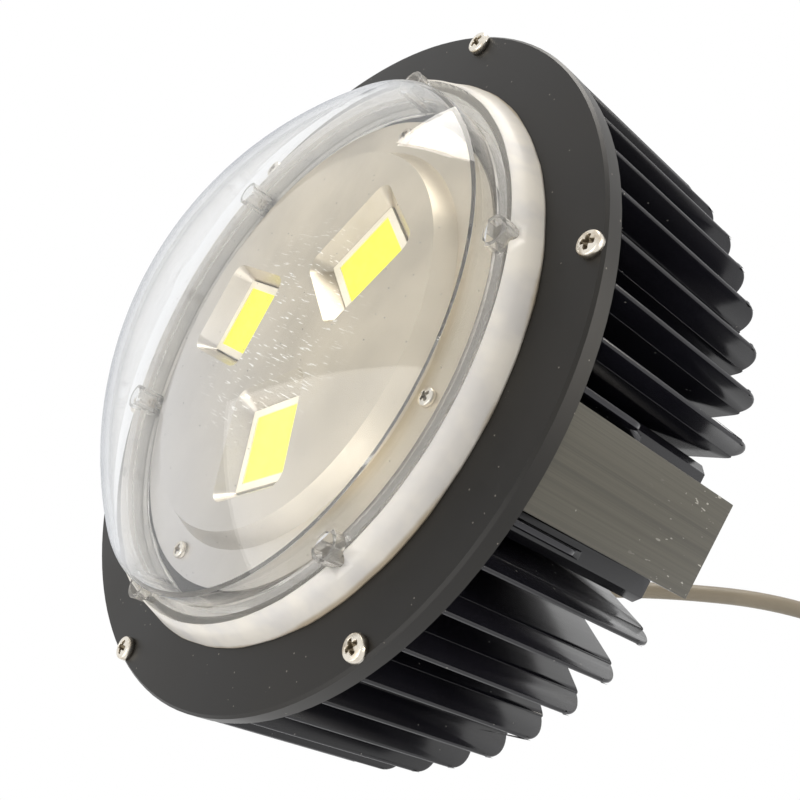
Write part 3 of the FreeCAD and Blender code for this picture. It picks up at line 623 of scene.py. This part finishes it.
def pan_head(shape, place, turn, radius, height, shank):
    """Adds one pan head screw: a spun head with a pressed cross, and its shank."""
    crown, side = 26, 7
    profile = [(0.0, height)]
    for step in range(1, crown + 1):
        share = step / crown
        profile.append((0.86 * radius * share, height - 0.17 * height * share ** 2.4))
    for step in range(1, side + 1):
        angle = math.pi / 2 * step / side
        profile.append(((0.86 + 0.14 * math.sin(angle)) * radius,
                        0.83 * height - 0.45 * height * (1 - math.cos(angle))))
    profile += [(radius, 0.0), (0.42 * radius, 0.0), (0.42 * radius, -shank), (0.0, -shank)]

    others = set(shape.verts)
    verts = [shape.verts.new((r, 0.0, z)) for r, z in profile]
    edges = [shape.edges.new(pair) for pair in zip(verts, verts[1:])]
    bmesh.ops.spin(shape, geom=verts + edges, cent=(0, 0, 0), axis=(0, 0, 1),
                   angle=2 * math.pi, steps=56, use_merge=True)
    spun = [vert for vert in shape.verts if vert not in others]
    centre = [vert for vert in spun if math.hypot(vert.co.x, vert.co.y) < 1e-7]
    bmesh.ops.remove_doubles(shape, verts=centre, dist=1e-7)
    spun = [vert for vert in spun if vert.is_valid]
    for vert in spun:
        if vert.co.z > 0.5 * height:
            sunk = cross_depth(vert.co.x, vert.co.y, radius, 0.80 * height)
            vert.co.z -= sunk
            # Faces deep in the cross take the second material, a dark painted shade.
            if sunk > 0.12 * height:
                for face in vert.link_faces:
                    face.material_index = 1
    move = Matrix.Translation(place) @ Matrix.Rotation(turn, 4, "Z")
    bmesh.ops.transform(shape, matrix=move, verts=spun)


def screw_ring(name, node, circle, angles, level, head, shank, materials):
    """A ring of pan head screws, each turned to its own angle, for a CAD node."""
    shape = bmesh.new()
    radius, height = head
    for number, angle in enumerate(angles):
        turn = math.radians(angle)
        place = (circle * math.cos(turn), circle * math.sin(turn), level)
        pan_head(shape, place, 0.9 + 2.39 * number, radius, height, shank)
    bmesh.ops.recalc_face_normals(shape, faces=shape.faces)
    return show(bmesh_to_mesh(shape, name), name, materials, (node,))


class HIGHBAY_OT_screws(bpy.types.Operator):
    """Make the visible pan head screws and finish the hidden ones"""

    bl_idname = "highbay.screws"
    bl_label = "Screws"

    def execute(self, context):
        nickel = nickel_finish(context.scene.high_bay_finishes)
        # Dark brown painted shade for the deep part of each cross recess.
        recess = metal_finish("recess_painted_shade", (0.20, 0.165, 0.115), 0.4)
        screw_ring("rim_screws", "shade_screws", RIM_SCREW_CIRCLE, RIM_SCREW_ANGLES, FRONT,
                   (3.7 * MM, 2.6 * MM), 5.2 * MM, [nickel, recess])
        screw_ring("sheet_screws", "reflector_screws", SHEET_SCREW_CIRCLE, SHEET_SCREW_ANGLES,
                   SHEET_SCREW_LEVEL, (2.75 * MM, 1.9 * MM), 8.6 * MM, [nickel, recess])
        finish_nodes(nickel, "lens_screws", "led_screws", "plate_screws")
        finish_nodes(plastic_finish("white_nylon", (0.80, 0.80, 0.77)), "reflector_spacers")
        return {"FINISHED"}


# ---------------------------------------------------------------- operators: optics
class HIGHBAY_OT_reflector(bpy.types.Operator):
    """Finish the pressed reflector"""

    bl_idname = "highbay.reflector"
    bl_label = "Reflector"

    def execute(self, context):
        finish_nodes(sheet_finish(context.scene.high_bay_finishes), "reflector")
        return {"FINISHED"}


class HIGHBAY_OT_led_modules(bpy.types.Operator):
    """Finish the LED modules and their wires"""

    bl_idname = "highbay.led_modules"
    bl_label = "LED modules"

    def execute(self, context):
        colours = context.scene.high_bay_finishes
        finish_nodes(metal_finish("module_base", (0.75, 0.74, 0.71), 0.3),
                     *["led_base_%d" % n for n in LED_NUMBERS])
        finish_nodes(plastic_finish("cream_plastic", colours.cream, 0.35),
                     *["led_frame_%d" % n for n in LED_NUMBERS])
        finish_nodes(phosphor_finish(colours), *["led_phosphor_%d" % n for n in LED_NUMBERS])
        finish_nodes(plastic_finish("red_insulation", (0.42, 0.03, 0.02), 0.35), "led_wires")
        return {"FINISHED"}


class HIGHBAY_OT_lens(bpy.types.Operator):
    """Finish the clear lens"""

    bl_idname = "highbay.lens"
    bl_label = "Lens"

    def execute(self, context):
        finish_nodes(lens_finish(), "lens")
        return {"FINISHED"}


def push_out(verts, *waves):
    """Moves points out from the axis by cosines of their angle round it, in millimetres.

    Each wave is a count round the circle, a size and a phase.
    """
    for vert in verts:
        reach = math.hypot(vert.co.x, vert.co.y)
        angle = math.atan2(vert.co.y, vert.co.x)
        grow = sum(size * math.cos(count * angle + phase) for count, size, phase in waves)
        scale = (reach + grow * MM) / reach
        vert.co.x *= scale
        vert.co.y *= scale


def smear_edge(shape):
    """Makes the seal's outer edge uneven, as laid by hand."""
    outer = [vert for vert in shape.verts if math.hypot(vert.co.x, vert.co.y) >= SEAL_EDGE]
    push_out(outer, (3, 0.25, 0.4), (7, 0.16, 2.0), (17, 0.10, 1.0), (41, 0.07, 0.2))


def squeezed_rim():
    """The low wavy ring of silicone that was squeezed out inside the flange."""
    shape = bmesh.new()
    top = FRONT + 0.62 * MM
    foot = FRONT + 0.05 * MM
    outer = [(SQUEEZED_OUTER, foot), (SQUEEZED_OUTER, top)]
    inner = [(SQUEEZED_INNER + 0.5 * MM, FRONT + 0.6 * MM),
             (SQUEEZED_INNER + 0.1 * MM, FRONT + 0.35 * MM), (SQUEEZED_INNER, foot)]
    verts = [shape.verts.new((reach, 0.0, level)) for reach, level in outer + inner]
    edges = [shape.edges.new(pair) for pair in zip(verts, verts[1:] + verts[:1])]
    bmesh.ops.spin(shape, geom=verts + edges, cent=(0, 0, 0), axis=(0, 0, 1),
                   angle=2 * math.pi, steps=240, use_merge=True)
    limit = (SQUEEZED_OUTER + SQUEEZED_INNER) / 2
    wavy = [vert for vert in shape.verts if math.hypot(vert.co.x, vert.co.y) < limit]
    push_out(wavy, (2, 0.7, 1.1), (5, 0.55, 0.3), (9, 0.4, 2.2), (23, 0.22, 0.9),
             (47, 0.12, 0.5))
    bmesh.ops.recalc_face_normals(shape, faces=shape.faces)
    return bmesh_to_mesh(shape, "squeezed_rim")


class HIGHBAY_OT_seal(bpy.types.Operator):
    """Lay the silicone seal with its uneven edges and squeezed out rim"""

    bl_idname = "highbay.seal"
    bl_label = "Seal"

    def execute(self, context):
        finish = silicone_finish(context.scene.high_bay_finishes)
        dressed_copy("lens_seal", "silicone_seal", finish,
                     0.2 * MM, prepare=smear_edge)
        show(squeezed_rim(), "squeezed_rim", [finish])
        return {"FINISHED"}


# ---------------------------------------------------------------- operators: cable
# the cable's route from the gland's mouth to the coil, in millimetres
CABLE_POINTS = [
    (-43.47, 11.65, -20.0),
    (-43.47, 11.65, -40.0),
    (-40.5, 6.5, -62.0),
    (-28.6, -6.8, -83.8),
    (-12.2, -27.3, -106.6),
    (3.0, -54.0, -130.0),
    (9.0, -76.0, -158.0),
    (10.0, -92.0, -194.0),
    (10.0, -92.0, -232.0),
]
COIL_RADIUS = 36.0
COIL_TURNS = 3
COIL_STUB = 30.0
TURN_POINTS = 14
COIL_LANES = [(-2.6, -1.6), (0.0, 2.9), (2.6, -1.6)]     # across the bundle, and outwards


def coil_points(entry):
    """The coil's turns, beside each other in one bundle, from where the cable enters it."""
    x, y, z = entry
    middle = (x, y + COIL_RADIUS, z - COIL_STUB)
    points = []
    steps = COIL_TURNS * TURN_POINTS
    for step in range(1, steps):
        turn = 2 * math.pi * step / TURN_POINTS
        place = step / steps * (COIL_TURNS - 1)
        lane = min(int(place), COIL_TURNS - 2)
        share = place - lane
        share = share * share * (3 - 2 * share)
        here, there = COIL_LANES[lane], COIL_LANES[lane + 1]
        across = here[0] + (there[0] - here[0]) * share
        out = here[1] + (there[1] - here[1]) * share
        # control points stand a little outside the circle that the curve follows
        reach = (COIL_RADIUS + out) / (0.75 + 0.25 * math.cos(2 * math.pi / TURN_POINTS))
        points.append((middle[0] + across, middle[1] - reach * math.cos(turn),
                       middle[2] - reach * math.sin(turn)))
    return points


def cable_run(route, diameter, material):
    """The cable as a curve whose control points are the route's."""
    curve = bpy.data.curves.new("cable_run", "CURVE")
    curve.dimensions = "3D"
    curve.bevel_depth = diameter / 2
    curve.bevel_resolution = 8
    curve.resolution_u = 8
    curve.use_fill_caps = True
    line = curve.splines.new("NURBS")
    line.points.add(len(route) - 1)
    for point, (x, y, z) in zip(line.points, route):
        point.co = (x * MM, y * MM, z * MM, 1.0)
    line.order_u = 3
    line.use_endpoint_u = True
    curve.materials.append(material)
    cable = bpy.data.objects.new("cable_run", curve)
    bpy.context.scene.collection.objects.link(cable)
    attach(cable, "root")
    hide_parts("cable", "cable_coil")
    return cable


class HIGHBAY_OT_cable(bpy.types.Operator):
    """Lay the cable and its coil, and finish the gland, tie and connector"""

    bl_idname = "highbay.cable"
    bl_label = "Cable"

    def execute(self, context):
        sizes = context.scene.high_bay_sizes
        colours = context.scene.high_bay_finishes
        x, y, z = CABLE_POINTS[-1]
        end = z - 2 * COIL_STUB
        route = CABLE_POINTS + coil_points((x, y, z)) + [(x, y, end + 12.0), (x, y, end)]
        jacket = plastic_finish("taupe_jacket", colours.jacket, 0.42, 700.0)
        cable = cable_run(route, sizes.cable_diameter, jacket)

        black = plastic_finish("black_nylon", (0.022, 0.022, 0.022), 0.4)
        pale = plastic_finish("tie_nylon", (0.80, 0.80, 0.78))
        edge = sizes.edge
        tie = dressed_copy("coil_tie", "tie_band", pale, edge * 0.5)
        plug = dressed_copy("connector_body", "connector_shell", black, edge)
        ring = dressed_copy("connector_nut", "connector_ring", black, edge)
        dressed_copy("gland_body", "gland_flange", black, edge)
        dressed_copy("gland_nut", "gland_cap", black, edge)
        finish_nodes(plastic_finish("black_rubber", (0.02, 0.02, 0.02), 0.5), "gland_seal")
        tuple(c * MM for c in route[0])
        return {"FINISHED"}


# ---------------------------------------------------------------- operators: stage
def soft_lamp(name, place, target, size, power, colour):
    """Hangs a rectangular lamp that faces a target."""
    light = bpy.data.lights.new(name, "AREA")
    light.shape = "RECTANGLE"
    light.size, light.size_y = size
    light.energy = power
    light.color = colour
    lamp = bpy.data.objects.new(name, light)
    bpy.context.scene.collection.objects.link(lamp)
    aim = (Vector(target) - Vector(place)).to_track_quat("-Z", "Y").to_matrix().to_4x4()
    lamp.matrix_world = Matrix.Translation(place) @ aim


def studio_world():
    """A white backdrop, and pale light from all round that is cool on one side."""
    world = bpy.data.worlds.new("studio")
    world.use_nodes = True
    sky = Nodes(world.node_tree)
    aim = sky.node("TexCoord")
    side = sky.node("VectorMath", {"operation": "DOT_PRODUCT"},
                    {0: aim, 1: WARM_DIRECTION}, output=1)
    share = sky.node("MapRange", None, {"Value": side, "From Min": -0.75, "From Max": 0.75})
    room = sky.blend(share, COOL_SIDE, WARM_SIDE)
    colour = sky.blend(sky.backdrop_rays(), room, WHITE)
    sky.feed(sky.tree.nodes["Background"].inputs["Color"], colour)
    return world


def pale_floor():
    """A wide floor under the light."""
    level = CAD_BOX[0][2] - FLOOR_GAP
    shape = bmesh.new()
    bmesh.ops.create_grid(shape, x_segments=8, y_segments=8, size=FLOOR_HALF,
                          matrix=Matrix.Translation((0, 0, level)))
    floor = bpy.data.objects.new("floor", bmesh_to_mesh(shape, "floor"))
    floor.data.materials.append(floor_finish())
    bpy.context.scene.collection.objects.link(floor)


class HIGHBAY_OT_stage(bpy.types.Operator):
    """Set up the camera, the lamps, the pale surroundings and the floor"""

    bl_idname = "highbay.stage"
    bl_label = "Stage"

    def execute(self, context):
        scene = context.scene
        scene.view_settings.view_transform = "Standard"
        view = scene.high_bay_camera
        camera = bpy.data.objects.new("camera", bpy.data.cameras.new("camera"))
        scene.collection.objects.link(camera)
        camera.data.lens = view.lens
        camera.data.sensor_width = 36.0
        camera.data.shift_x = view.shift_x
        camera.data.shift_y = view.shift_y
        camera.data.clip_start = 0.01
        camera.matrix_world = (Matrix.Translation(view.place)
                               @ Matrix.Rotation(view.heading, 4, "Z")
                               @ Matrix.Rotation(math.pi / 2 - view.pitch, 4, "X")
                               @ Matrix.Rotation(view.roll, 4, "Z"))
        scene.camera = camera

        scene.world = studio_world()
        for lamp in LAMPS:
            soft_lamp(*lamp)
        pale_floor()
        return {"FINISHED"}


# ---------------------------------------------------------------- panel and registration
OPERATORS = (
    HIGHBAY_OT_stage,
    HIGHBAY_OT_cable,
    HIGHBAY_OT_heat_sink,
    HIGHBAY_OT_front_plate,
    HIGHBAY_OT_screws,
    HIGHBAY_OT_reflector,
    HIGHBAY_OT_led_modules,
    HIGHBAY_OT_lens,
    HIGHBAY_OT_seal,
)
GROUPS = {
    "high_bay_finishes": HighBayFinishes,
    "high_bay_sizes": HighBaySizes,
    "high_bay_camera": HighBayCamera,
}


class HIGHBAY_PT_panel(bpy.types.Panel):
    """Lists the light's pieces"""

    bl_idname = "HIGHBAY_PT_panel"
    bl_label = "High bay light"
    bl_space_type = "VIEW_3D"
    bl_region_type = "UI"
    bl_category = "High bay"

    def draw(self, context):
        for operator in OPERATORS:
            self.layout.operator(operator.bl_idname)


def register():
    for group in GROUPS.values():
        bpy.utils.register_class(group)
    for name, group in GROUPS.items():
        setattr(bpy.types.Scene, name, PointerProperty(type=group))
    for operator in OPERATORS:
        bpy.utils.register_class(operator)
    bpy.utils.register_class(HIGHBAY_PT_panel)


def unregister():
    bpy.utils.unregister_class(HIGHBAY_PT_panel)
    for operator in reversed(OPERATORS):
        bpy.utils.unregister_class(operator)
    for name in GROUPS:
        delattr(bpy.types.Scene, name)
    for group in reversed(list(GROUPS.values())):
        bpy.utils.unregister_class(group)


def main():
    register()
    for operator in OPERATORS:
        group, name = operator.bl_idname.split(".")
        getattr(getattr(bpy.ops, group), name)()


if __name__ == "__main__":
    main()
